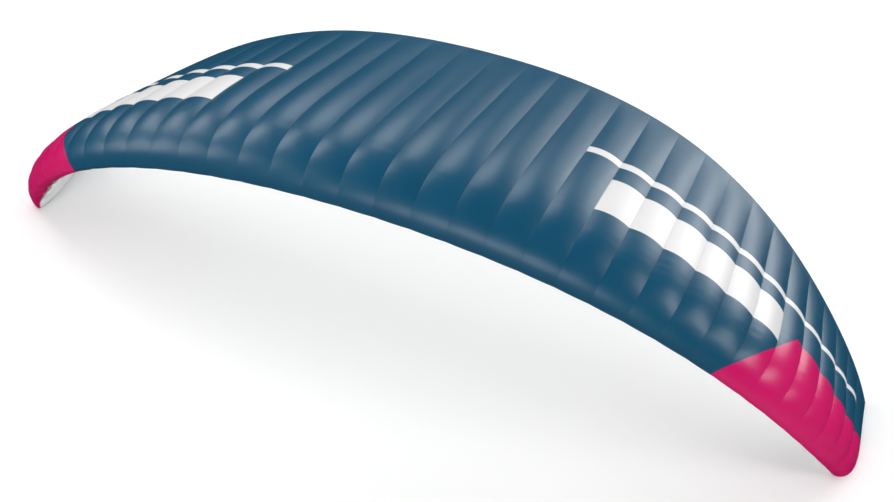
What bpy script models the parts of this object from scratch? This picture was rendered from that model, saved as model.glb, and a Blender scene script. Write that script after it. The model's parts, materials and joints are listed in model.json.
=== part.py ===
"""Paraglider wing: a ram-air canopy of 35 cells, standing as an inflated arch on its two tips.

Frame: metres, +Z up, span along X, leading edge towards -Y, the tips' flat undersides on Z = 0,
origin below the middle of the wing's box.
The top sail wraps over the nose to the front lip of the air intakes, the bottom sail runs from the
rear lip of the intakes to the trailing edge, and 36 ribs stand between them. The intakes narrow
and close towards the tips.
"""
import math

import bmesh
import bpy
from mathutils import Vector

# Driving dimensions, in metres and degrees.
HALF_SPAN = 5.60            # along the cloth, from the middle of the wing to a tip
SIDE_CELLS = 17             # cells on each side of the middle cell
ROOT_CHORD = 3.00
TIP_CHORD = 1.60            # before the trailing edge is cut forward at the tips
TIP_CUT = (0.52, 14.0)      # how far it is cut forward at a tip, and how late
CHORD_CURVE = (3.1, 1.9)    # how late and how fast the chord shortens towards the tips
CELL_NARROWING = (0.38, 1.63)  # share of the width that the last cell loses, and how late
ARCH_ANGLES = (28.6, 40.9)  # the arch's angle at a tip: the even part and the part that grows late
TIP_SWEEP = (0.43, 6.25)    # how far the leading edge runs back at a tip, and how late
ARCH_LEAN = 0.098           # the arch leans back by this share of its drop
TIP_TWIST = ((2.9, 2.0), (-7.4, 14.0))  # the noses stand up by these angles at a tip: an even and a late part
FRONT_LIP = (0.090, 0.015)  # front lip of the air intakes, as a share of the chord: in the middle, at a tip
INTAKE = (0.035, 0.0022)    # from the front to the rear lip, in the same way
LIP_RUN = ((0.88, 1.00), (0.90, 0.99))  # where the front lip runs forward and where the intakes close

SHEET = 0.002               # sails and ribs
GAP = 0.0003                # between two pieces
TAIL_HALF = 0.0022          # half the height of the sewn trailing edge
BULGE = 0.088               # crown of an inflated cell, as a share of its width
NOSE_BULGE = 0.12           # what is left of the crown at the stiff nose
BULGE_END = 0.17            # the crown is full from this share of the chord on
EDGE_LIFT = 0.001           # the sails' tip edges end this far above the tips' flat undersides
SEAM_ROOM = 1.04            # the sheets measure this much more where they meet at a rib
TIP_INSET = 0.003           # from the outside of the sails to the rib that closes a tip

# The profile: Bernstein weights of its upper and its lower side.
UPPER_SIDE = (0.410, 0.285, 0.190, 0.165)
LOWER_SIDE = (0.167, 0.050)

# How finely the sails are divided.
TOP_ROWS = 16
BOTTOM_ROWS = 8
TOP_STEPS_PER_CELL = 3
BOTTOM_STEPS_PER_CELL = 2
CELLS_PER_SECTION = 5
SECTIONS = ("far_left", "left", "near_left", "middle", "near_right", "right", "far_right")
ARCH_STEPS = 240
RIB_TAIL = 0.983            # a rib ends at this share of the chord

# Colours and roughness of the cloths.
TOP_CLOTH = ((0.010, 0.085, 0.150), 0.42)
BOTTOM_CLOTH = ((0.78, 0.79, 0.80), 0.55)
RIB_CLOTH = ((0.86, 0.86, 0.85), 0.60)


def clear_scene():
    for obj in list(bpy.data.objects):
        bpy.data.objects.remove(obj, do_unlink=True)


def make_material(name, cloth):
    colour, roughness = cloth
    material = bpy.data.materials.new(name)
    material.use_nodes = True
    shader = material.node_tree.nodes["Principled BSDF"]
    shader.inputs["Base Color"].default_value = (*colour, 1.0)
    shader.inputs["Roughness"].default_value = roughness
    shader.inputs["Metallic"].default_value = 0.0
    return material


def add_object(name, mesh, material):
    data = bpy.data.meshes.new(name)
    mesh.to_mesh(data)
    mesh.free()
    data.materials.append(material)
    obj = bpy.data.objects.new(name, data)
    bpy.context.collection.objects.link(obj)
    return obj


# ---------------------------------------------------------------- the wing's form

def arch_angle(u):
    even, late = ARCH_ANGLES
    return math.radians(even * u + late * u ** 3)


def arch_curve():
    """Places along the arch, from the middle (0) to the tip (1): distance out and height."""
    step = 1.0 / ARCH_STEPS
    places = [(0.0, 0.0)]
    for i in range(ARCH_STEPS):
        angle = arch_angle((i + 0.5) * step)
        out, height = places[-1]
        run = HALF_SPAN * step
        places.append((out + run * math.cos(angle), height - run * math.sin(angle)))
    tip_height = places[-1][1]
    return [(out, height - tip_height) for out, height in places]


ARCH = arch_curve()


def arch_place(u):
    position = u * ARCH_STEPS
    i = min(int(position), ARCH_STEPS - 1)
    share = position - i
    (x0, z0), (x1, z1) = ARCH[i], ARCH[i + 1]
    return x0 + (x1 - x0) * share, z0 + (z1 - z0) * share


def rib_stations():
    """Span places of the ribs, from the left tip (-1) to the right tip (1)."""
    loss, late = CELL_NARROWING
    edge = 0.5
    edges = [edge]
    for k in range(1, SIDE_CELLS + 1):
        edge += 1.0 - loss * (k / SIDE_CELLS) ** late
        edges.append(edge)
    right = [e / edge for e in edges]
    return [-u for u in reversed(right)] + right


def chord(u):
    late, fast = CHORD_CURVE
    cut, cut_late = TIP_CUT
    return TIP_CHORD + (ROOT_CHORD - TIP_CHORD) * (1.0 - u ** late) ** fast - cut * u ** cut_late


def twist_angle(u):
    return math.radians(sum(angle * u ** late for angle, late in TIP_TWIST))


def nose_back(u):
    sweep, late = TIP_SWEEP
    drop = ARCH[0][1] - arch_place(u)[1]
    return sweep * u ** late + ARCH_LEAN * drop


def bernstein(weights, x):
    n = len(weights) - 1
    return sum(w * math.comb(n, i) * x ** i * (1.0 - x) ** (n - i) for i, w in enumerate(weights))


def profile(s):
    """A place on the profile: s runs from -1 (tail, lower side) over 0 (nose) to 1 (tail, top)."""
    x = s * s
    weights = UPPER_SIDE if s > 0 else LOWER_SIDE
    return x, s * (1.0 - x) * bernstein(weights, x)


def profile_place(s, length):
    x, z = profile(s)
    tail = math.copysign(TAIL_HALF, s) * x
    return Vector((x * length, z * length + tail))


def profile_normal(s, length):
    """The direction that points out of the profile."""
    reach = 0.01
    before = profile_place(max(s - reach, -1.0), length)
    after = profile_place(min(s + reach, 1.0), length)
    run = after - before
    return Vector((-run.y, run.x)).normalized()


class Station:
    """The wing's cross-section at one span place, from -1 (left tip) to 1 (right tip)."""

    def __init__(self, place):
        side = math.copysign(1.0, place)
        u = abs(place)
        out, height = arch_place(u)
        angle = arch_angle(u)
        twist = twist_angle(u)
        rise = Vector((side * math.sin(angle), 0.0, math.cos(angle)))
        back = Vector((0.0, 1.0, 0.0))
        self.length = chord(u)
        self.nose = Vector((side * out, nose_back(u), height))
        self.back = back * math.cos(twist) - rise * math.sin(twist)
        self.rise = back * math.sin(twist) + rise * math.cos(twist)
        self.across = self.back.cross(self.rise)
        self.outward = Vector((side * math.cos(angle), 0.0, -math.sin(angle)))

    def lift(self, flat):
        """A point of the cross-section's own plane, in the wing's frame."""
        return self.nose + self.back * flat.x + self.rise * flat.y

    def skin(self, s, crown=0.0):
        return self.lift(profile_place(s, self.length) + profile_normal(s, self.length) * crown)

    def on_floor(self, point, height):
        """The point, moved along the cloth to a level height above the floor."""
        return point + self.outward * ((height - point.z) / self.outward.z)


STATIONS = rib_stations()


def crown_share(s):
    """How full a cell is along the chord: low at the nose, full behind it, flat at the tail."""
    x = s * s
    front = NOSE_BULGE + (1.0 - NOSE_BULGE) * smooth(x / BULGE_END)
    return front * (1.0 - x ** 6)


def smooth(x):
    x = min(max(x, 0.0), 1.0)
    return x * x * (3.0 - 2.0 * x)


def narrowed(sizes, run, u):
    """A size that goes from its value in the middle to its value at a tip within a run of the span."""
    middle, tip = sizes
    start, end = run
    return middle + (tip - middle) * smooth((u - start) / (end - start))


def front_lip(u):
    return narrowed(FRONT_LIP, LIP_RUN[0], u)


def rear_lip(u):
    return front_lip(u) + narrowed(INTAKE, LIP_RUN[1], u)


def spread(first, last, rows):
    return [first + (last - first) * i / rows for i in range(rows + 1)]


def top_places(u):
    """The top sail's rows, from the front lip of the intakes over the nose to the tail."""
    return spread(-math.sqrt(front_lip(u)), 1.0, TOP_ROWS)


def bottom_places(u):
    """The bottom sail's rows, from the tail to the rear lip of the intakes."""
    return spread(-1.0, -math.sqrt(rear_lip(u)), BOTTOM_ROWS)


# ---------------------------------------------------------------- sails

def sail_columns(first_cell, steps, places):
    """The columns of points of one section: rib lines, and the crowned cloth between them."""
    columns = []
    for cell in range(first_cell, first_cell + CELLS_PER_SECTION):
        left, right = STATIONS[cell], STATIONS[cell + 1]
        width = (right - left) * HALF_SPAN
        last = cell == first_cell + CELLS_PER_SECTION - 1
        for step in range(steps + 1 if last else steps):
            t = step / steps
            place = left + (right - left) * t
            if cell == first_cell and step == 0:
                place += 0.5 * GAP / HALF_SPAN
            if last and step == steps:
                place -= 0.5 * GAP / HALF_SPAN
            crown = 4.0 * t * (1.0 - t) * BULGE * width
            at_tip = (cell == 0 and step == 0) or (cell == len(STATIONS) - 2 and step == steps)
            station = Station(place)
            column = [station.skin(s, crown * crown_share(s)) for s in places(abs(place))]
            if at_tip:
                column = [station.on_floor(point, EDGE_LIFT) for point in column]
            columns.append(column)
    return columns


def make_sail(name, columns, material):
    """A sheet with the columns on its outer side and its thickness inwards."""
    mesh = bmesh.new()
    grid = [[mesh.verts.new(point) for point in column] for column in columns]
    for one, other in zip(grid, grid[1:]):
        for a, b, c, d in zip(one, other, other[1:], one[1:]):
            mesh.faces.new((a, b, c, d))
    bmesh.ops.triangulate(mesh, faces=mesh.faces[:])
    sail = add_object(name, mesh, material)
    wall = sail.modifiers.new("wall", "SOLIDIFY")
    wall.thickness = SHEET
    wall.offset = -1.0
    wall.use_even_offset = True
    wall.use_quality_normals = True
    return sail


def make_sails(material_top, material_bottom):
    for i, section in enumerate(SECTIONS):
        first = i * CELLS_PER_SECTION
        top = sail_columns(first, TOP_STEPS_PER_CELL, top_places)
        make_sail("top_sail_" + section, top, material_top)
        bottom = sail_columns(first, BOTTOM_STEPS_PER_CELL, bottom_places)
        make_sail("bottom_sail_" + section, bottom, material_bottom)


# ---------------------------------------------------------------- ribs

def inset(outline, distance):
    """The outline moved inwards, its corners mitred. It runs clockwise."""
    moved = []
    for i, corner in enumerate(outline):
        before = (corner - outline[i - 1]).normalized()
        after = (outline[(i + 1) % len(outline)] - corner).normalized()
        one = Vector((before.y, -before.x))
        two = Vector((after.y, -after.x))
        moved.append(corner + (one + two) * (distance / (1.0 + one.dot(two))))
    return moved


def rib_outline(u, place_on):
    """The outside of the cross-section from the lower side of the tail to its upper side."""
    lower, upper = bottom_places(u), top_places(u)
    x_low, x_top = lower[1] ** 2, upper[-2] ** 2
    low = place_on(lower[1]).lerp(place_on(-1.0), (RIB_TAIL - x_low) / (1.0 - x_low))
    top = place_on(upper[-2]).lerp(place_on(1.0), (RIB_TAIL - x_top) / (1.0 - x_top))
    between = [place_on(s) for s in lower[1:] + upper[:-1]]
    return [low] + between + [top]


def skin_slope(station, place):
    """How fast the skin leaves a rib's edge sideways, at the nose or at the tail."""
    reach = 0.01
    inner = Station(max(place - reach, -1.0))
    outer = Station(min(place + reach, 1.0))
    nose = outer.nose - inner.nose
    tail = outer.skin(1.0) - inner.skin(1.0)
    return max(abs(nose.y) / nose.length, abs(tail.dot(station.rise)) / tail.length)


def make_plate(name, corners, rise, material):
    """A flat plate: the outline's corners, drawn out by one step."""
    mesh = bmesh.new()
    face = mesh.faces.new([mesh.verts.new(corner) for corner in corners])
    drawn = bmesh.ops.extrude_face_region(mesh, geom=[face])
    moved = [item for item in drawn["geom"] if isinstance(item, bmesh.types.BMVert)]
    bmesh.ops.translate(mesh, verts=moved, vec=rise)
    bmesh.ops.triangulate(mesh, faces=mesh.faces[:])
    bmesh.ops.recalc_face_normals(mesh, faces=mesh.faces[:])
    return add_object(name, mesh, material)


def make_rib(name, place, material):
    station = Station(place)
    room = SHEET * SEAM_ROOM + GAP + 0.5 * SHEET * skin_slope(station, place)
    outline = rib_outline(abs(place), lambda s: profile_place(s, station.length))
    rise = station.across * SHEET
    corners = [station.lift(corner) - 0.5 * rise for corner in inset(outline, room)]
    make_plate(name, corners, rise, material)


def make_tip_rib(name, place, material):
    """The rib that closes a tip lies level: its underside is the wing's foot."""
    station = Station(place)
    side = math.copysign(1.0, place)

    def footprint(s):
        point = station.on_floor(station.skin(s), EDGE_LIFT)
        return Vector((point.y, side * point.x))

    outline = inset(rib_outline(abs(place), footprint), TIP_INSET)
    corners = [Vector((side * corner.y, corner.x, 0.0)) for corner in outline]
    make_plate(name, corners, Vector((0.0, 0.0, SHEET)), material)


def make_ribs(material):
    ribs_per_side = SIDE_CELLS + 1
    for i, place in enumerate(STATIONS):
        name = "rib_l%02d" % (ribs_per_side - i) if place < 0 else "rib_r%02d" % (i - SIDE_CELLS)
        make = make_tip_rib if i in (0, len(STATIONS) - 1) else make_rib
        make(name, place, material)


def centre_in_depth():
    """Puts the middle of the wing's depth on the XZ plane."""
    depths = [vertex.co.y for obj in bpy.data.objects for vertex in obj.data.vertices]
    middle = 0.5 * (min(depths) + max(depths))
    for obj in bpy.data.objects:
        obj.location.y = -middle


def main():
    clear_scene()
    make_sails(make_material("top_cloth", TOP_CLOTH), make_material("bottom_cloth", BOTTOM_CLOTH))
    make_ribs(make_material("rib_cloth", RIB_CLOTH))
    centre_in_depth()


main()
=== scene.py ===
import json
import math

import bmesh
import bpy
from bpy.props import FloatProperty, FloatVectorProperty, IntProperty, PointerProperty
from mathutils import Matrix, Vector, noise

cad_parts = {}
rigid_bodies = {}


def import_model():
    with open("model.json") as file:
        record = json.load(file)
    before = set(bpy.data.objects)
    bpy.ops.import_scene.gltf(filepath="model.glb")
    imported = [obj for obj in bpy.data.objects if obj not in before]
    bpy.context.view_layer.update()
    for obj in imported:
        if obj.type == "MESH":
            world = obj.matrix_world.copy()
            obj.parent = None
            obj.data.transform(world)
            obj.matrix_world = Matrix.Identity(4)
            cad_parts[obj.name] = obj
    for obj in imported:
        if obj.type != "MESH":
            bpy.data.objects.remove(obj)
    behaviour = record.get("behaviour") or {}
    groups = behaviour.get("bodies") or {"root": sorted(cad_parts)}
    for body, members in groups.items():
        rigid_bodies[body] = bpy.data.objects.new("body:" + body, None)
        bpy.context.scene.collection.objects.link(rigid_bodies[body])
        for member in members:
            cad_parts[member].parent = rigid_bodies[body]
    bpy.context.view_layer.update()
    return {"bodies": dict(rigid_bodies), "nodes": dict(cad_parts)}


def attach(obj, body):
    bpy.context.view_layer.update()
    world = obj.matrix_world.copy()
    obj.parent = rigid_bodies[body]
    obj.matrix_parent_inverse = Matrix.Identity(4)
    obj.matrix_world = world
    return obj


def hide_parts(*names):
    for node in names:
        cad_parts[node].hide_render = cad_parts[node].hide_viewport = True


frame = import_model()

bl_info = {
    "name": "Paraglider Wing",
    "version": (1, 0, 0),
    "blender": (4, 5, 0),
    "location": "View3D > Sidebar > Wing",
    "description": "Dresses a ram-air paraglider wing: crowned sails, ribs and stage",
    "category": "Object",
}

BODY = next(iter(frame["bodies"]))
SECTIONS = ("far_left", "left", "near_left", "middle", "near_right", "right", "far_right")
CELLS_PER_SECTION = 5
SIDE_CELLS = 17                 # cells on each side of the middle one


# ---------------------------------------------------------------- sizes and colours

def length_setting(label, note, default):
    return FloatProperty(name=label, description=note, default=default, unit="LENGTH")


def share_setting(label, note, default):
    return FloatProperty(name=label, description=note, default=default, subtype="FACTOR")


def power_setting(label, note, default):
    return FloatProperty(name=label, description=note, default=default)


def angle_setting(label, note, degrees):
    return FloatProperty(name=label, description=note, default=math.radians(degrees), subtype="ANGLE")


def count_setting(label, note, default):
    return IntProperty(name=label, description=note, default=default, min=1)


def colour_setting(label, note, default):
    return FloatVectorProperty(
        name=label, description=note, default=default, size=3, min=0.0, max=1.0, subtype="COLOR"
    )


class WingForm(bpy.types.PropertyGroup):
    """The inflated wing's form, in the frame's own sizes."""

    half_span: length_setting("Half span", "Along the cloth from the middle to a tip", 5.60)
    root_chord: length_setting("Root chord", "Chord in the middle", 3.00)
    tip_chord: length_setting("Tip chord", "At the tips, before the trailing edge is cut forward", 1.60)
    tip_cut: length_setting("Tip cut", "How far the trailing edge is cut forward at a tip", 0.52)
    cut_late: power_setting("Cut, late", "How late it is cut forward", 14.0)
    chord_late: power_setting("Chord, late", "How late the chord shortens", 3.1)
    chord_fast: power_setting("Chord, fast", "How fast the chord shortens", 1.9)
    cell_loss: share_setting("Cell narrowing", "Share of its width that the last cell loses", 0.38)
    cell_late: power_setting("Narrowing, late", "How late the cells narrow", 1.63)
    arch_even: angle_setting("Even arch", "The part of the tip's angle that grows evenly", 28.6)
    arch_late: angle_setting("Late arch", "The part of the tip's angle that grows late", 40.9)
    sweep: length_setting("Tip sweep", "How far the leading edge runs back at a tip", 0.43)
    sweep_late: power_setting("Sweep, late", "How late the leading edge runs back", 6.25)
    lean: share_setting("Arch lean", "The arch leans back by this share of its drop", 0.098)
    twist: angle_setting("Tip twist", "The noses stand up by this angle at a tip", 2.9)
    turn: angle_setting("Tip turn", "The tips' tails turn outwards by this angle", 7.4)
    turn_late: power_setting("Turn, late", "How late the tails turn outwards", 14.0)
    middle: length_setting("Middle", "From the nose of the middle cell to the middle of the depth", 1.49923)
    front_lip: share_setting("Front lip", "Front lip of the intakes, as a share of the chord", 0.090)
    tip_lip: share_setting("Tip lip", "The front lip at a tip, as a share of the chord", 0.015)
    intake: share_setting("Intake", "From the front to the rear lip, as a share of the chord", 0.035)
    crown: share_setting("Crown", "Crown of an inflated cell, as a share of its width", 0.088)
    nose_crown: share_setting("Nose crown", "What is left of the crown at the stiff nose", 0.12)
    crown_end: share_setting("Crown end", "Share of the chord where the full crown is reached", 0.17)
    tail_half: length_setting("Tail half", "Half the height of the sewn trailing edge", 0.0015)
    cloth: length_setting("Cloth", "Thickness of a sail", 0.0014)
    edge_lift: length_setting("Edge lift", "The sails' tip edges end this far above the floor", 0.001)
    pucker: length_setting("Pucker", "Height of the small gathers beside the seams", 0.0010)
    pucker_length: length_setting("Pucker length", "From one gather to the next", 0.11)
    top_columns: count_setting("Top columns", "Steps across a cell of the top sail", 16)
    top_rows: count_setting("Top rows", "Steps along the top sail's chord", 120)
    bottom_columns: count_setting("Bottom columns", "Steps across a cell of the bottom sail", 10)
    bottom_rows: count_setting("Bottom rows", "Steps along the bottom sail's chord", 72)


class WingColours(bpy.types.PropertyGroup):
    """The colours of the cloths and the floor."""

    sea: colour_setting("Sea blue", "Ground colour of the top sail", (0.0005, 0.066, 0.133))
    berry: colour_setting("Berry", "The tips' colour", (0.55, 0.0001, 0.110))
    white: colour_setting("White", "The stripes on the top sail", (0.68, 0.68, 0.68))
    underside: colour_setting("Underside", "The bottom sail", (0.89, 0.90, 0.91))
    inside: colour_setting("Inside", "The inner faces of the sails", (0.88, 0.88, 0.87))
    rib: colour_setting("Rib", "The ribs inside the cells", (0.80, 0.80, 0.79))
    floor: colour_setting("Floor", "The pale floor", (0.90, 0.90, 0.90))


class WingStage(bpy.types.PropertyGroup):
    """Where the camera stands."""

    azimuth: angle_setting("Azimuth", "The camera's direction round the wing", 24.82)
    elevation: angle_setting("Elevation", "The camera's height above the horizon", 42.08)
    distance: length_setting("Distance", "From the camera to the point it aims at", 14.555)
    lens: FloatProperty(name="Lens", description="Focal length", default=49.49, unit="CAMERA")
    aim: FloatVectorProperty(
        name="Aim", description="The point that the camera looks at", size=3,
        default=(-0.0305, 0.6357, -0.1136), subtype="TRANSLATION", unit="LENGTH",
    )


# ---------------------------------------------------------------- the wing's form

# A place along the profile is s: -1 at the tail of the lower side, 0 at the nose, 1 at the tail of the
# upper side. Its square is the share of the chord. u is the share of the half span, 0 in the middle.
UPPER_SIDE = (0.410, 0.285, 0.190, 0.165)   # Bernstein weights of the profile's upper side
LOWER_SIDE = (0.167, 0.050)                 # and of its lower side
ARCH_STEPS = 240
NORMAL_REACH = 0.01                         # how far to each side of s the profile's direction is read
CROWN_FADE = 6                              # how late the crown fades towards the tail
FRONT_LIP_RUN = (0.88, 0.12)                # u where the front lip starts to run forward, and over what
CLOSING_RUN = (0.90, 0.09)                  # the same for the rear lip, which closes on the front lip
CLOSED = 0.0003                             # between the lips of a closed intake, as a share of the chord


def bernstein(weights, x):
    n = len(weights) - 1
    return sum(w * math.comb(n, i) * x ** i * (1.0 - x) ** (n - i) for i, w in enumerate(weights))


def profile_height(s):
    """Height over the chord line of a profile of unit chord."""
    x = s * s
    return s * (1.0 - x) * bernstein(UPPER_SIDE if s > 0 else LOWER_SIDE, x)


def profile_lengths(first, last, rows):
    """Distances along a profile of unit chord, one for each row."""
    places = [first + (last - first) * i / rows for i in range(rows + 1)]
    flat = [Vector((s * s, profile_height(s))) for s in places]
    lengths = [0.0]
    for before, after in zip(flat, flat[1:]):
        lengths.append(lengths[-1] + (after - before).length)
    return lengths


def smooth(x):
    x = min(max(x, 0.0), 1.0)
    return x * x * (3.0 - 2.0 * x)


def along_run(u, run):
    """0 before a run, 1 after it, and smooth between them."""
    start, length = run
    return smooth((u - start) / length)


class Form:
    """The wing's form, worked out once from the sizes."""

    def __init__(self, sizes):
        self.sizes = sizes
        self.arch = self.arch_curve()
        self.ribs = self.rib_stations()
        self.foot_shifts = {}

    def arch_angle(self, u):
        return self.sizes.arch_even * u + self.sizes.arch_late * u ** 3

    def arch_curve(self):
        run = self.sizes.half_span / ARCH_STEPS
        places = [(0.0, 0.0)]
        for i in range(ARCH_STEPS):
            angle = self.arch_angle((i + 0.5) / ARCH_STEPS)
            out, height = places[-1]
            places.append((out + run * math.cos(angle), height - run * math.sin(angle)))
        foot = places[-1][1]
        return [(out, height - foot) for out, height in places]

    def arch_place(self, u):
        i = min(int(u * ARCH_STEPS), ARCH_STEPS - 1)
        share = u * ARCH_STEPS - i
        (x0, z0), (x1, z1) = self.arch[i], self.arch[i + 1]
        return x0 + (x1 - x0) * share, z0 + (z1 - z0) * share

    def rib_stations(self):
        """The ribs' span places, from -1 at the left tip to 1 at the right tip."""
        edge = 0.5
        edges = [edge]
        for k in range(1, SIDE_CELLS + 1):
            edge += 1.0 - self.sizes.cell_loss * (k / SIDE_CELLS) ** self.sizes.cell_late
            edges.append(edge)
        right = [e / edge for e in edges]
        return [-u for u in reversed(right)] + right

    def uncut_chord(self, u):
        f = self.sizes
        return f.tip_chord + (f.root_chord - f.tip_chord) * (1.0 - u ** f.chord_late) ** f.chord_fast

    def chord(self, u):
        return self.uncut_chord(u) - self.sizes.tip_cut * u ** self.sizes.cut_late

    def twist(self, u):
        return self.sizes.twist * u * u - self.sizes.turn * u ** self.sizes.turn_late

    def nose_back(self, u):
        drop = self.arch[0][1] - self.arch_place(u)[1]
        return self.sizes.sweep * u ** self.sizes.sweep_late + self.sizes.lean * drop - self.sizes.middle

    def front_lip(self, u):
        """The front lip of the intakes runs forward towards a tip."""
        start, end = self.sizes.front_lip, self.sizes.tip_lip
        return start + (end - start) * along_run(u, FRONT_LIP_RUN)

    def rear_lip(self, u):
        """The rear lip meets the front lip near a tip, where the cells are closed."""
        intake = self.sizes.intake
        return self.front_lip(u) + intake + (CLOSED - intake) * along_run(u, CLOSING_RUN)

    def top_ends(self, u):
        return -math.sqrt(self.front_lip(u)), 1.0

    def bottom_ends(self, u):
        return -1.0, -math.sqrt(self.rear_lip(u))

    def crown_share(self, s):
        """How full the crown is along the profile."""
        x = s * s
        nose_crown = self.sizes.nose_crown
        front = nose_crown + (1.0 - nose_crown) * smooth(x / self.sizes.crown_end)
        return front * (1.0 - x ** CROWN_FADE)

    def foot_shift(self, place, s):
        """How far the skin of a tip runs on, or stops short, to end level above the floor."""
        side = math.copysign(1.0, place)
        key = (side, round(s, 6))
        if key not in self.foot_shifts:
            tip = Station(self, side)
            self.foot_shifts[key] = tip.outward * ((self.sizes.edge_lift - tip.skin(s).z) / tip.outward.z)
        return self.foot_shifts[key]


class Station:
    """The wing's cross-section at one span place, from -1 (left tip) to 1 (right tip)."""

    def __init__(self, form, place):
        side = math.copysign(1.0, place)
        u = abs(place)
        out, height = form.arch_place(u)
        angle = form.arch_angle(u)
        twist = form.twist(u)
        rise = Vector((side * math.sin(angle), 0.0, math.cos(angle)))
        back = Vector((0.0, 1.0, 0.0))
        self.tail_half = form.sizes.tail_half
        self.length = form.chord(u)
        self.uncut = self.length / form.uncut_chord(u)
        self.nose = Vector((side * out, form.nose_back(u), height))
        self.back = back * math.cos(twist) - rise * math.sin(twist)
        self.rise = back * math.sin(twist) + rise * math.cos(twist)
        self.outward = Vector((side * math.cos(angle), 0.0, -math.sin(angle)))

    def flat_place(self, s):
        """Back from the nose and up from the chord line, in metres."""
        x = s * s
        open_tail = math.copysign(self.tail_half, s) * x
        return Vector((x * self.length, profile_height(s) * self.length + open_tail))

    def normal(self, s):
        """The direction out of the profile, in its own plane."""
        before = self.flat_place(max(s - NORMAL_REACH, -1.0))
        after = self.flat_place(min(s + NORMAL_REACH, 1.0))
        run = after - before
        return Vector((-run.y, run.x)).normalized()

    def skin(self, s, lift=0.0):
        flat = self.flat_place(s) + self.normal(s) * lift
        return self.nose + self.back * flat.x + self.rise * flat.y


GATHER_REACH = 0.16                         # from a seam to its gathers' highest place, as a share of a cell
GATHER_STRAY = 0.7                          # how far chance moves a gather, as a share of their spacing
STRAY_GRAIN = 0.6                           # how quickly that changes from one gather to the next
LEAST_GATHER, MORE_GATHER = 0.35, 1.30      # least share of the full height, and what chance adds
HEIGHT_GRAIN = 0.35                         # how quickly the height changes from one gather to the next
STRAY_BY_CELL, HEIGHT_BY_CELL, PHASE_BY_CELL = 3.7, 2.3, 1.9    # these keep neighbouring cells unlike
OTHER_SEAM = 7.0                            # and this the two seams of a cell
HEIGHT_CHANCE = 4.0                         # and this the chance of height from the chance of place


def gathers(form, cell, t, distance):
    """The small gathers that run out from the seams of a cell, fading towards its middle."""
    beside = min(t, 1.0 - t) / GATHER_REACH
    share = beside * math.exp(1.0 - beside)
    side = 0.0 if t < 0.5 else OTHER_SEAM
    along = distance / form.sizes.pucker_length
    stray = noise.noise(Vector((cell * STRAY_BY_CELL + side, along * STRAY_GRAIN, 0.0)))
    wave = math.sin(2.0 * math.pi * (along + GATHER_STRAY * stray) + cell * PHASE_BY_CELL + side)
    chance = noise.noise(Vector((cell * HEIGHT_BY_CELL, along * HEIGHT_GRAIN, side + HEIGHT_CHANCE)))
    return form.sizes.pucker * share * wave * (LEAST_GATHER + MORE_GATHER * abs(chance))


# ---------------------------------------------------------------- sheets

LENGTH_ROWS = 60                            # steps along the profile when a sheet's flat length is read
CROWN_LENGTH = 1.02                         # the crown's share in the flat length


def finish_piece(name, mesh, material):
    data = bpy.data.meshes.new(name)
    mesh.to_mesh(data)
    mesh.free()
    data.materials.append(material)
    piece = bpy.data.objects.new(name, data)
    bpy.context.scene.collection.objects.link(piece)
    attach(piece, BODY)
    return piece


def sail_sheet(form, first_cell, columns, rows, ends):
    """One section of a sail: a grid laid over five crowned cells, with its sewing data."""
    mesh = bmesh.new()
    across = columns * CELLS_PER_SECTION
    bmesh.ops.create_grid(mesh, x_segments=across, y_segments=rows, size=0.5)
    layers = {key: mesh.verts.layers.float.new(key) for key in ("span", "chord", "fullness", "edge")}
    panel = mesh.faces.layers.float.new("panel")
    cloth_map = mesh.loops.layers.uv.new("cloth")
    last_cell = len(form.ribs) - 2
    half_span = form.sizes.half_span
    stations, places = {}, {}
    for vert in mesh.verts:
        column = round((vert.co.x + 0.5) * across)
        row = round((vert.co.y + 0.5) * rows)
        cell = min(first_cell + column // columns, first_cell + CELLS_PER_SECTION - 1)
        t = (column - (cell - first_cell) * columns) / columns
        left, right = form.ribs[cell], form.ribs[cell + 1]
        place = left + (right - left) * t
        if column not in stations:
            first, last = ends(abs(place))
            stations[column] = Station(form, place), first, last, profile_lengths(first, last, rows)
        station, first, last, lengths = stations[column]
        s = first + (last - first) * row / rows
        full = 4.0 * t * (1.0 - t)
        distance = lengths[row] * station.length
        crown = full * form.sizes.crown * (right - left) * half_span * form.crown_share(s)
        crown += gathers(form, cell, t, distance) * form.crown_share(s)
        point = station.skin(s, crown)
        if cell in (0, last_cell):
            near = 1.0 - t if cell == 0 else t
            point += form.foot_shift(place, s) * near ** 2
        vert.co = point
        vert[layers["span"]] = place
        vert[layers["chord"]] = math.copysign(s * s, s) * station.uncut
        vert[layers["fullness"]] = full
        vert[layers["edge"]] = min(distance, lengths[-1] * station.length - distance)
        places[vert] = (column, place * half_span, distance)
    for face in mesh.faces:
        face.smooth = True
        low = min(places[vert][0] for vert in face.verts)
        face[panel] = float(first_cell + low // columns)
        for loop in face.loops:
            loop[cloth_map].uv = places[loop.vert][1:]
    for edge in mesh.edges:
        one, other = (places[vert][0] for vert in edge.verts)
        edge.smooth = not (edge.is_boundary or (one == other and one % columns == 0))
    return mesh


def wall(piece, thickness):
    """The thickness goes inwards, and the inner face takes the second material."""
    modifier = piece.modifiers.new("wall", "SOLIDIFY")
    modifier.thickness = thickness
    modifier.offset = -1.0
    modifier.material_offset = 1
    modifier.use_even_offset = True
    modifier.use_quality_normals = True


def make_sail(form, node_prefix, materials, columns, rows, ends):
    for i, section in enumerate(SECTIONS):
        mesh = sail_sheet(form, i * CELLS_PER_SECTION, columns, rows, ends)
        area = sum(face.calc_area() for face in mesh.faces)
        name = node_prefix.replace("_sail_", "_panels_") + section
        piece = finish_piece(name, mesh, materials[0])
        piece.data.materials.append(materials[1])
        wall(piece, form.sizes.cloth)
        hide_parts(node_prefix + section)
        declare_sheet(form, i, area, ends)


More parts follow.
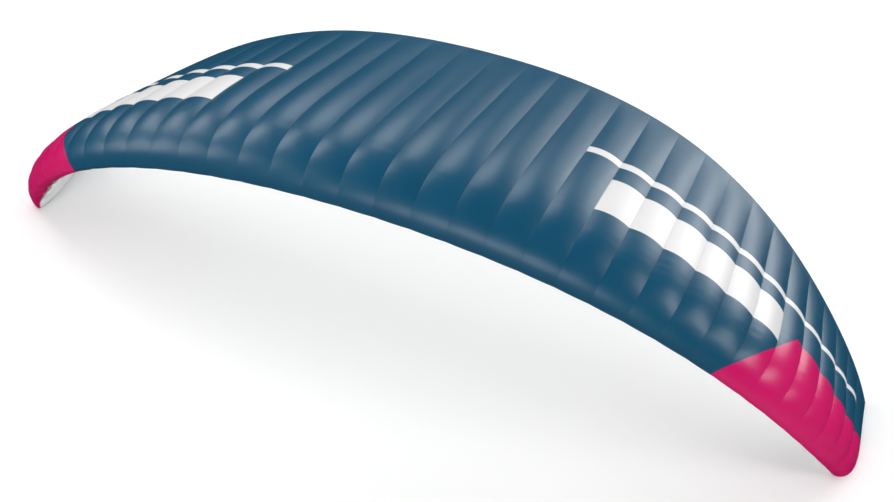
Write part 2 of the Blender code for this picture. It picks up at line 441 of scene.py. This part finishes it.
def declare_sheet(form, section, area, ends):
    """Works out its flat size, the width of its cells' cloth by the profile's length at its longest chord,
    and keeps nothing of it.
    """
    edges = form.ribs[section * CELLS_PER_SECTION: (section + 1) * CELLS_PER_SECTION + 1]
    extra = 1.0 + 8.0 / 3.0 * form.sizes.crown ** 2     # a shallow arc is longer than its chord by this share
    width = (edges[-1] - edges[0]) * form.sizes.half_span * extra
    innermost = 0.0 if edges[0] < 0.0 < edges[-1] else min(abs(u) for u in edges)
    length = form.chord(innermost) * profile_lengths(*ends(innermost), LENGTH_ROWS)[-1] * CROWN_LENGTH
    min(area, width * length)


# ---------------------------------------------------------------- node maths

class Signal:
    """A socket of a node tree, for maths in plain expressions."""

    def __init__(self, board, socket):
        self.board = board
        self.socket = socket

    def maths(self, operation, *others):
        values = (self, *others)
        return self.board.add("ShaderNodeMath", {"operation": operation}, dict(enumerate(values)))

    def __add__(self, other):
        return self.maths("ADD", other)

    __radd__ = __add__

    def __sub__(self, other):
        return self.maths("SUBTRACT", other)

    def __rsub__(self, other):
        return self.board.add("ShaderNodeMath", {"operation": "SUBTRACT"}, {0: other, 1: self})

    def __mul__(self, other):
        return self.maths("MULTIPLY", other)

    __rmul__ = __mul__

    def __truediv__(self, other):
        return self.maths("DIVIDE", other)

    def __pow__(self, other):
        return self.maths("POWER", other)

    def __abs__(self):
        return self.maths("ABSOLUTE")


class Board:
    """A material and the nodes that are added to it."""

    def __init__(self, name):
        self.material = bpy.data.materials.new(name)
        self.material.use_nodes = True
        self.tree = self.material.node_tree
        self.shader = self.tree.nodes["Principled BSDF"]

    def add(self, kind, settings=None, inputs=None, output=0):
        node = self.tree.nodes.new(kind)
        for key, value in (settings or {}).items():
            setattr(node, key, value)
        for key, value in (inputs or {}).items():
            self.feed(node.inputs[key], value)
        return Signal(self, node.outputs[output])

    def feed(self, socket, value):
        if isinstance(value, Signal):
            self.tree.links.new(value.socket, socket)
        else:
            socket.default_value = value

    def attribute(self, name):
        return self.add("ShaderNodeAttribute", {"attribute_name": name}, output="Fac")

    def cloth_map(self):
        """Metres across and along the laid-out cloth."""
        return self.add("ShaderNodeUVMap", {"uv_map": "cloth"}, output="UV")

    def split(self, vector):
        """The three parts of a vector."""
        first = self.add("ShaderNodeSeparateXYZ", None, {0: vector})
        return [Signal(self, socket) for socket in first.socket.node.outputs]

    def cloud(self, place, scale, detail, roughness=0.5):
        """Soft unevenness from 0 to 1."""
        inputs = {"Vector": place, "Scale": scale, "Detail": detail, "Roughness": roughness}
        return self.add("ShaderNodeTexNoise", None, inputs, "Fac")

    def step(self, value, low, high):
        """0 below low, 1 above high, and smooth between them."""
        return self.add(
            "ShaderNodeMapRange", {"interpolation_type": "SMOOTHSTEP"},
            {"Value": value, "From Min": low, "From Max": high},
        )

    def mix(self, share, one, other, blend="MIX"):
        settings = {"data_type": "RGBA", "blend_type": blend}
        return self.add("ShaderNodeMix", settings, {"Factor": share, 6: one, 7: other}, output=2)

    def grey(self, value):
        return self.add("ShaderNodeCombineColor", None, {0: value, 1: value, 2: value})

    def bump(self, relief):
        """The normal of a surface with a relief in metres."""
        inputs = {"Strength": 1.0, "Distance": 1.0, "Height": relief}
        return self.add("ShaderNodeBump", None, inputs, "Normal")

    def set(self, **values):
        for key, value in values.items():
            self.feed(self.shader.inputs[key.replace("_", " ")], value)


# ---------------------------------------------------------------- cloths

# Lengths in metres. A seam's places are read in fullness, 0 on a rib and 1 in the middle of a cell.
WEAVE_PITCH = 0.009
WEAVE_THREAD = 0.10                         # half a raised thread, as a share of the pitch
SEAM_WIDTH = 0.075
STITCH_LINE = (0.115, 0.02)                 # where the stitches run beside a seam, and their half width
STITCH_PITCH = 0.012
STITCH_START, STITCH_END = (0.15, 0.30), (0.75, 0.90)   # as shares of the pitch
HEM_EDGE = (0.0185, 0.0200)                 # from the cloth's edge, on its outer face
TURNED_EDGE = (0.018, 0.020)                # and on its inner face
HEM_THREAD = (0.0165, 0.0012)               # from the cloth's edge, and its half width
COLOUR_SEAM = 0.004                         # half width, as a share of the chord
COLOUR_EDGE = 0.0012                        # softness of a colour's edge, as a share of the chord

TOP_ROUGHNESS = 0.345
BOTTOM_ROUGHNESS = 0.40
INSIDE_ROUGHNESS = 0.60
RIB_ROUGHNESS = 0.55
UNEVEN_ROUGHNESS = 0.08                     # what the unevenness adds to the coated cloths
DULL_ROUGHNESS = 0.10                       # and to the uncoated ones
THREAD_POLISH = 0.04                        # how much smoother the raised threads are
BERRY_POLISH = 0.05                         # and the coat of the berry cloth
SHEEN = 0.80                                # how strongly the sails' cloth mirrors the lights
PAINTED_GLOW = 0.05                       # painted glow: the inner faces and the ribs give off a faint light of their own, in place of daylight through thin cloth

TONE = 0.965                                # the coated cloth's tone, before what follows changes it
TONES = {"dye": 0.05, "soft": 0.03, "weave": -0.03, "seam": -0.10, "panel_edge": -0.05, "hem": -0.06}
RELIEFS = {
    "weave": 0.00005, "wrinkle": 0.0010, "seam": -0.0003, "panel_edge": -0.0003, "thread": 0.0003,
    "hem": 0.0004, "hem_thread": -0.0003,
}
INSIDE_SHADES = {"weave": 0.10, "soft": 0.10, "hem": 0.12}
INSIDE_RELIEFS = {"weave": 0.00005, "hem": 0.0004}
INSIDE_DARK = 0.80                          # the inner face's darker tint, as a share of its colour
RIB_SHADES = {"weave": 0.12, "soft": 0.10}
RIB_DARK = 0.86
RIB_WEAVE = 0.00008

BERRY_FRONT = {"start": 0.652, "run_out": 0.097, "where": 0.375, "bend": 0.85}  # its edge from the nose back
BERRY_BACK = {"end": 0.385, "loss": 0.075, "from": 0.74}                        # its edge across the chord
STRIPES = (                                 # first and last cell from the middle, edges along the chord
    {"inner": 6, "outer": 11, "front": 0.27, "back": 0.47},
    {"inner": 5, "outer": 16, "front": 0.56, "back": 0.60},
)


WHITE = (1.0, 1.0, 1.0, 1.0)


def opaque(colour):
    return (*colour, 1.0)


def darker(colour, share):
    return opaque([share * c for c in colour])


def weigh(weights, signals):
    """The sum of the signals, each by its weight."""
    parts = [signals[key] * weight for key, weight in weights.items()]
    total = parts[0]
    for part in parts[1:]:
        total = total + part
    return total


def ripstop(board, along, across):
    """The raised square grid of a ripstop weave, 0 between its threads and 1 on them."""

    def lines(distance):
        place = (distance / WEAVE_PITCH).maths("FRACT")
        return 1.0 - board.step(abs(place - 0.5), 0.0, WEAVE_THREAD)

    return lines(along).maths("MAXIMUM", lines(across))


def sewn_line(board, distance, half_width):
    """1 on a line, 0 from half_width on."""
    return 1.0 - board.step(abs(distance), 0.0, half_width)


def stitch_line(board, fullness, along):
    """A broken line of stitches beside a seam."""
    place, half_width = STITCH_LINE
    gap = (along / STITCH_PITCH).maths("FRACT")
    stitches = board.step(gap, *STITCH_START) * (1.0 - board.step(gap, *STITCH_END))
    return sewn_line(board, fullness - place, half_width) * stitches


def sail_cloth(name, colour_of, roughness):
    """Coated ripstop nylon, with the sewing that the sheets' own data place."""
    board = Board(name)
    cloth_map = board.cloth_map()
    across, along, _ = board.split(cloth_map)
    fullness = board.attribute("fullness")
    edge = board.attribute("edge")
    thread_place, thread_width = HEM_THREAD
    colour, panel_edge, polish = colour_of(board)
    signs = {
        "weave": ripstop(board, along, across),
        "soft": board.cloud(cloth_map, 2.4, 3.0),
        "wrinkle": board.cloud(cloth_map, 7.0, 2.0, 0.45),
        "dye": board.add(
            "ShaderNodeTexWhiteNoise", {"noise_dimensions": "1D"}, {"W": board.attribute("panel")}, "Value"
        ),
        "seam": 1.0 - board.step(fullness, 0.0, SEAM_WIDTH),
        "panel_edge": panel_edge,
        "thread": stitch_line(board, fullness, along),
        "hem": 1.0 - board.step(edge, *HEM_EDGE),
        "hem_thread": sewn_line(board, edge - thread_place, thread_width),
    }
    tone = TONE + weigh(TONES, signs)
    board.set(
        Base_Color=board.mix(1.0, colour, board.grey(tone), "MULTIPLY"),
        Roughness=roughness + signs["soft"] * UNEVEN_ROUGHNESS - signs["weave"] * THREAD_POLISH - polish,
        Normal=board.bump(weigh(RELIEFS, signs)),
        Specular_IOR_Level=SHEEN,
    )
    return board.material


def top_colours(board):
    """Sea blue, berry tips and white stripes; also their seams, and how much smoother the cloth is."""
    colours = bpy.context.scene.wing_colours
    side = abs(board.attribute("span"))
    chord = board.attribute("chord")
    behind = chord.maths("MAXIMUM", 0.0) / BERRY_FRONT["where"]
    front = side - (BERRY_FRONT["start"] + BERRY_FRONT["run_out"] * behind ** BERRY_FRONT["bend"])
    back = BERRY_BACK["end"] - BERRY_BACK["loss"] * board.step(side, BERRY_BACK["from"], 1.0) - chord
    inside = front.maths("MINIMUM", back)
    berry = board.step(inside, -COLOUR_EDGE, COLOUR_EDGE)
    seams = sewn_line(board, inside, COLOUR_SEAM)
    colour = board.mix(berry, opaque(colours.sea), opaque(colours.berry))
    ribs = Form(bpy.context.scene.wing_form).ribs[SIDE_CELLS + 1:]
    for stripe in STRIPES:
        within = (side - ribs[stripe["inner"] - 1]).maths("MINIMUM", ribs[stripe["outer"]] - side)
        deep = (chord - stripe["front"]).maths("MINIMUM", stripe["back"] - chord)
        inside = within.maths("MINIMUM", deep)
        colour = board.mix(board.step(inside, -COLOUR_EDGE, COLOUR_EDGE), colour, opaque(colours.white))
        seams = seams.maths("MAXIMUM", sewn_line(board, inside, COLOUR_SEAM))
    return colour, seams, berry * BERRY_POLISH


def underside_colour(board):
    """Plain pale cloth, with no seams between colours and no smoother part."""
    return opaque(bpy.context.scene.wing_colours.underside), 0.0, 0.0


def inside_cloth(name):
    """The uncoated inner face of a sail: pale, with the weave and the turned hems showing, and a faint
    painted glow of its own colour.
    """
    board = Board(name)
    colour = bpy.context.scene.wing_colours.inside
    cloth_map = board.cloth_map()
    across, along, _ = board.split(cloth_map)
    signs = {
        "weave": ripstop(board, along, across),
        "soft": board.cloud(cloth_map, 3.0, 2.0),
        "hem": 1.0 - board.step(board.attribute("edge"), *TURNED_EDGE),
    }
    board.set(
        Base_Color=board.mix(weigh(INSIDE_SHADES, signs), opaque(colour), darker(colour, INSIDE_DARK)),
        Roughness=INSIDE_ROUGHNESS + signs["soft"] * DULL_ROUGHNESS,
        Normal=board.bump(weigh(INSIDE_RELIEFS, signs)),
        Specular_IOR_Level=SHEEN,
        # painted glow: the inner face gives off a faint light of its own colour
        Emission_Color=opaque(colour),
        Emission_Strength=PAINTED_GLOW,
    )
    return board.material


def rib_cloth(name, colour):
    """Stiffer cloth of the ribs, its weave in the wing's own frame, with a faint painted white glow."""
    board = Board(name)
    place = board.add("ShaderNodeTexCoord", output="Object")
    _, back, up = board.split(place)
    signs = {"weave": ripstop(board, back, up), "soft": board.cloud(place, 3.0, 2.0)}
    board.set(
        Base_Color=board.mix(weigh(RIB_SHADES, signs), opaque(colour), darker(colour, RIB_DARK)),
        Roughness=RIB_ROUGHNESS + signs["soft"] * DULL_ROUGHNESS,
        Normal=board.bump(signs["weave"] * RIB_WEAVE),
        # painted glow: the rib gives off a faint white light of its own
        Emission_Color=WHITE,
        Emission_Strength=PAINTED_GLOW,
    )
    return board.material


# ---------------------------------------------------------------- floor, lights and camera

FLOOR_SIZE = 36.0
FLOOR_DROP = 0.002                          # keeps the floor clear of the feet
FLOOR_ROUGHNESS = 0.9
LIGHTS = (   # seven softboxes round the wing: direction as azimuth and elevation, and irradiance
    {"name": "front", "azimuth": -5, "elevation": 19, "strength": 0.55},
    {"name": "front_left", "azimuth": -65, "elevation": 23, "strength": 0.58},
    {"name": "left", "azimuth": -106, "elevation": 35, "strength": 0.63},
    {"name": "back_left", "azimuth": -153, "elevation": 38, "strength": 0.52},
    {"name": "back", "azimuth": 170, "elevation": 21, "strength": 0.29},
    {"name": "back_right", "azimuth": 151, "elevation": 16, "strength": 0.84},
    {"name": "right", "azimuth": 88, "elevation": 37, "strength": 0.72},
)
FILLS = (   # screens that light the wing and do not show in its sheen
    {"name": "fill_above", "azimuth": 0, "elevation": 85, "strength": 1.05},
    {"name": "fill_front", "azimuth": -15, "elevation": 12, "strength": 1.15},
    {"name": "fill_right", "azimuth": 75, "elevation": 20, "strength": 0.75},
    {"name": "fill_left", "azimuth": -105, "elevation": 20, "strength": 0.75},
    {"name": "fill_back", "azimuth": 165, "elevation": 35, "strength": 0.80},
)
SOFTBOX = 17.0                              # side of a softbox
SCREEN = 34.0                               # and of a fill screen
LIGHT_DISTANCE = 40.0
LIGHT_AIM = (0.0, 0.0, 1.5)
AMBIENT = 0.18
SENSOR_WIDTH = 36.0                         # in millimetres
VIEW_DEPTH = 300.0


def direction(azimuth, elevation):
    """From the wing towards the camera or a light."""
    flat = math.cos(elevation)
    return Vector((math.sin(azimuth) * flat, -math.cos(azimuth) * flat, math.sin(elevation)))


def make_floor(colour):
    mesh = bmesh.new()
    bmesh.ops.create_grid(mesh, x_segments=1, y_segments=1, size=FLOOR_SIZE / 2.0)
    data = bpy.data.meshes.new("floor")
    mesh.to_mesh(data)
    mesh.free()
    board = Board("floor")
    board.set(Base_Color=opaque(colour), Roughness=FLOOR_ROUGHNESS)
    data.materials.append(board.material)
    floor = bpy.data.objects.new("floor", data)
    floor.location.z = -FLOOR_DROP
    floor.visible_glossy = False
    bpy.context.scene.collection.objects.link(floor)


def make_light(setting, size):
    lamp = bpy.data.lights.new(setting["name"], "AREA")
    lamp.shape = "SQUARE"
    lamp.size = size
    lamp.energy = math.pi * LIGHT_DISTANCE ** 2 * setting["strength"]
    light = bpy.data.objects.new(setting["name"], lamp)
    towards = direction(math.radians(setting["azimuth"]), math.radians(setting["elevation"]))
    light.location = Vector(LIGHT_AIM) + towards * LIGHT_DISTANCE
    light.rotation_euler = towards.to_track_quat("Z", "Y").to_euler()
    light.visible_camera = False
    bpy.context.scene.collection.objects.link(light)
    return light


def make_lights():
    for setting in LIGHTS:
        make_light(setting, SOFTBOX)
    for setting in FILLS:
        screen = make_light(setting, SCREEN)
        screen.visible_glossy = False
        screen.data.cycles.use_multiple_importance_sampling = False


def make_surroundings():
    """Pale all round, and dim as a light, so that the softboxes shape the wing."""
    world = bpy.data.worlds.new("studio")
    bpy.context.scene.world = world
    world.cycles_visibility.glossy = False
    world.use_nodes = True
    nodes, links = world.node_tree.nodes, world.node_tree.links
    dim = nodes["Background"]
    dim.inputs["Color"].default_value = WHITE
    dim.inputs["Strength"].default_value = AMBIENT
    pale = nodes.new("ShaderNodeBackground")
    pale.inputs["Color"].default_value = WHITE
    seen = nodes.new("ShaderNodeLightPath")
    both = nodes.new("ShaderNodeMixShader")
    links.new(seen.outputs["Is Camera Ray"], both.inputs["Fac"])
    links.new(dim.outputs["Background"], both.inputs[1])
    links.new(pale.outputs["Background"], both.inputs[2])
    links.new(both.outputs["Shader"], nodes["World Output"].inputs["Surface"])


def make_camera(stage):
    lens = bpy.data.cameras.new("camera")
    lens.lens = stage.lens
    lens.sensor_fit = "HORIZONTAL"
    lens.sensor_width = SENSOR_WIDTH
    lens.clip_end = VIEW_DEPTH
    camera = bpy.data.objects.new("camera", lens)
    towards = direction(stage.azimuth, stage.elevation)
    camera.location = Vector(stage.aim) + towards * stage.distance
    camera.rotation_euler = towards.to_track_quat("Z", "Y").to_euler()
    bpy.context.scene.collection.objects.link(camera)
    bpy.context.scene.camera = camera


# ---------------------------------------------------------------- operators

class WING_OT_top_sail(bpy.types.Operator):
    """Lays the crowned top sail over the ribs, with its colour panels"""

    bl_idname = "wing.top_sail"
    bl_label = "Top sail"

    def execute(self, context):
        sizes = context.scene.wing_form
        form = Form(sizes)
        cloths = sail_cloth("coated_top_cloth", top_colours, TOP_ROUGHNESS), inside_cloth("top_cloth_inside")
        make_sail(form, "top_sail_", cloths, sizes.top_columns, sizes.top_rows, form.top_ends)
        return {"FINISHED"}


class WING_OT_bottom_sail(bpy.types.Operator):
    """Lays the bottom sail from the intakes to the trailing edge"""

    bl_idname = "wing.bottom_sail"
    bl_label = "Bottom sail"

    def execute(self, context):
        sizes = context.scene.wing_form
        form = Form(sizes)
        outside = sail_cloth("coated_bottom_cloth", underside_colour, BOTTOM_ROUGHNESS)
        cloths = outside, inside_cloth("bottom_cloth_inside")
        columns, rows = sizes.bottom_columns, sizes.bottom_rows
        make_sail(form, "bottom_sail_", cloths, columns, rows, form.bottom_ends)
        return {"FINISHED"}


class WING_OT_ribs(bpy.types.Operator):
    """Gives the ribs their cloth"""

    bl_idname = "wing.ribs"
    bl_label = "Ribs"

    def execute(self, context):
        cloth = rib_cloth("rib_cloth", context.scene.wing_colours.rib)
        for name, node in frame["nodes"].items():
            if name.startswith("rib_"):
                node.data.materials.clear()
                node.data.materials.append(cloth)
        return {"FINISHED"}


class WING_OT_stage(bpy.types.Operator):
    """Sets up the floor, the light and the camera"""

    bl_idname = "wing.stage"
    bl_label = "Stage"

    def execute(self, context):
        make_floor(context.scene.wing_colours.floor)
        make_lights()
        make_surroundings()
        make_camera(context.scene.wing_stage)
        context.scene.view_settings.view_transform = "Standard"
        return {"FINISHED"}


class WING_PT_panel(bpy.types.Panel):
    """Lists the wing's pieces and sizes"""

    bl_idname = "WING_PT_panel"
    bl_label = "Paraglider wing"
    bl_space_type = "VIEW_3D"
    bl_region_type = "UI"
    bl_category = "Wing"

    def draw(self, context):
        for operator in OPERATORS:
            self.layout.operator(operator.bl_idname)
        for key in GROUPS:
            group = getattr(context.scene, key)
            box = self.layout.box()
            for name in group.bl_rna.properties.keys():
                if name not in ("rna_type", "name"):
                    box.prop(group, name)


OPERATORS = (WING_OT_top_sail, WING_OT_bottom_sail, WING_OT_ribs, WING_OT_stage)
GROUPS = {"wing_form": WingForm, "wing_colours": WingColours, "wing_stage": WingStage}


def register():
    for key, group in GROUPS.items():
        bpy.utils.register_class(group)
        setattr(bpy.types.Scene, key, PointerProperty(type=group))
    for operator in OPERATORS:
        bpy.utils.register_class(operator)
    bpy.utils.register_class(WING_PT_panel)


def unregister():
    bpy.utils.unregister_class(WING_PT_panel)
    for operator in reversed(OPERATORS):
        bpy.utils.unregister_class(operator)
    for key, group in reversed(GROUPS.items()):
        delattr(bpy.types.Scene, key)
        bpy.utils.unregister_class(group)


def main():
    register()
    bpy.ops.wing.top_sail()
    bpy.ops.wing.bottom_sail()
    bpy.ops.wing.ribs()
    bpy.ops.wing.stage()


if __name__ == "__main__":
    main()
